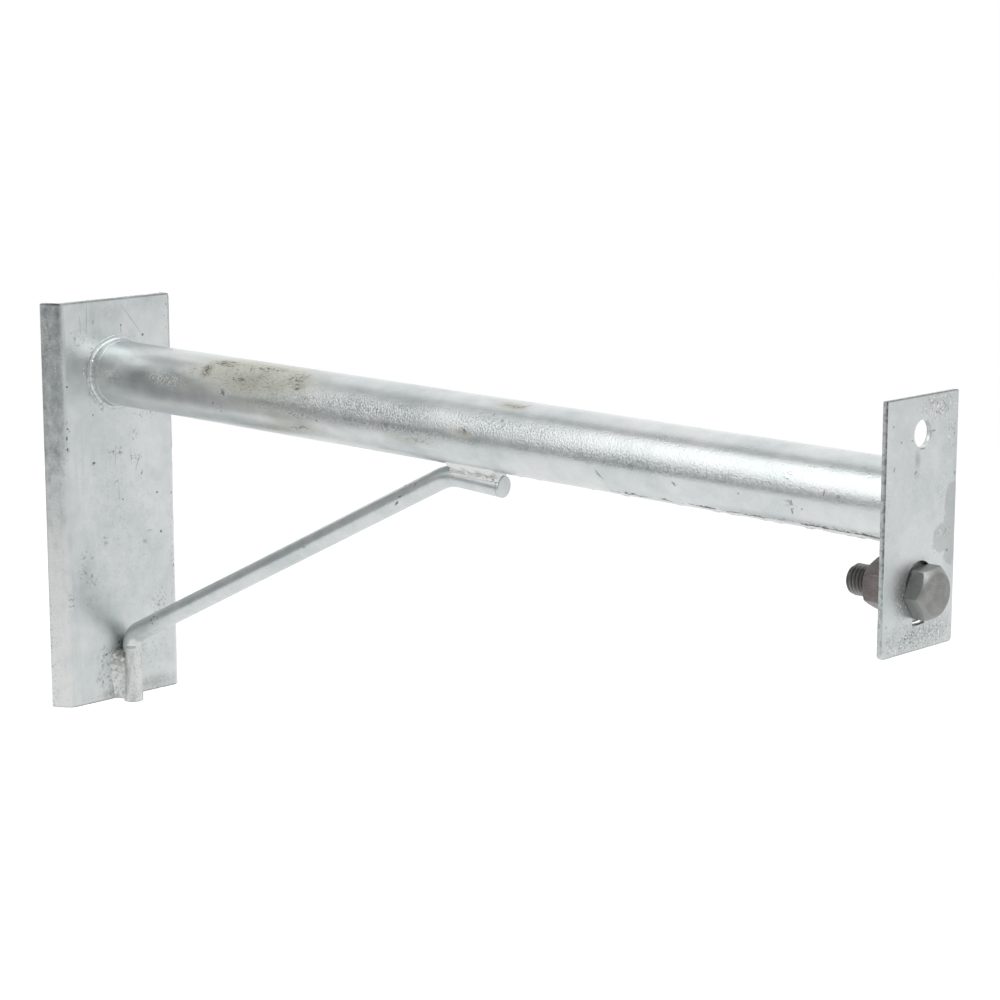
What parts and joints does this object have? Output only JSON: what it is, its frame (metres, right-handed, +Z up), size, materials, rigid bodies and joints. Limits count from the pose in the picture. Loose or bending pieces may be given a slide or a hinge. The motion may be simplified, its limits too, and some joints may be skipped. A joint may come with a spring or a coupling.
{
  "type": "fibre optic extension arm",
  "caption": "Galvanised steel arm that holds a cable clamp away from a pole: a folded pole plate, a pipe with a bent bar brace under it, and an end plate with a hexagon bolt, nut and washers.",
  "frame": {"origin": "on the face of the pole plate that sits against the pole, on the axis of the pipe", "axes": "+X out along the arm and away from the pole, +Z up, +Y to the left of someone who looks out from the pole"},
  "size_m": [0.7613, 0.1176, 0.313],
  "materials": {
    "galvanised_plate": "hot-dip galvanised, matte light grey with pits and grey stains",
    "galvanised_pipe": "hot-dip galvanised, satin light grey with brown stains",
    "galvanised_end_plate": "hot-dip galvanised, matte light grey with zinc lumps",
    "galvanised_bar": "hot-dip galvanised, smooth satin grey",
    "galvanised_weld": "weld beads under hot-dip zinc, rough and bright",
    "dark_fastener": "plain dark steel, matte warm grey"
  },
  "bodies": {
    "root": {"pole_plate": "galvanised_plate", "arm_tube": "galvanised_pipe", "end_plate": "galvanised_end_plate", "brace_rod": "galvanised_bar", "clamp_bolt": "dark_fastener", "clamp_nut": "dark_fastener", "clamp_washer": "dark_fastener", "clamp_spring_washer": "dark_fastener", "pole_weld": "galvanised_weld", "end_weld": "galvanised_weld", "brace_foot_weld": "galvanised_weld", "brace_top_weld": "galvanised_weld"}
  },
  "joints": []
}
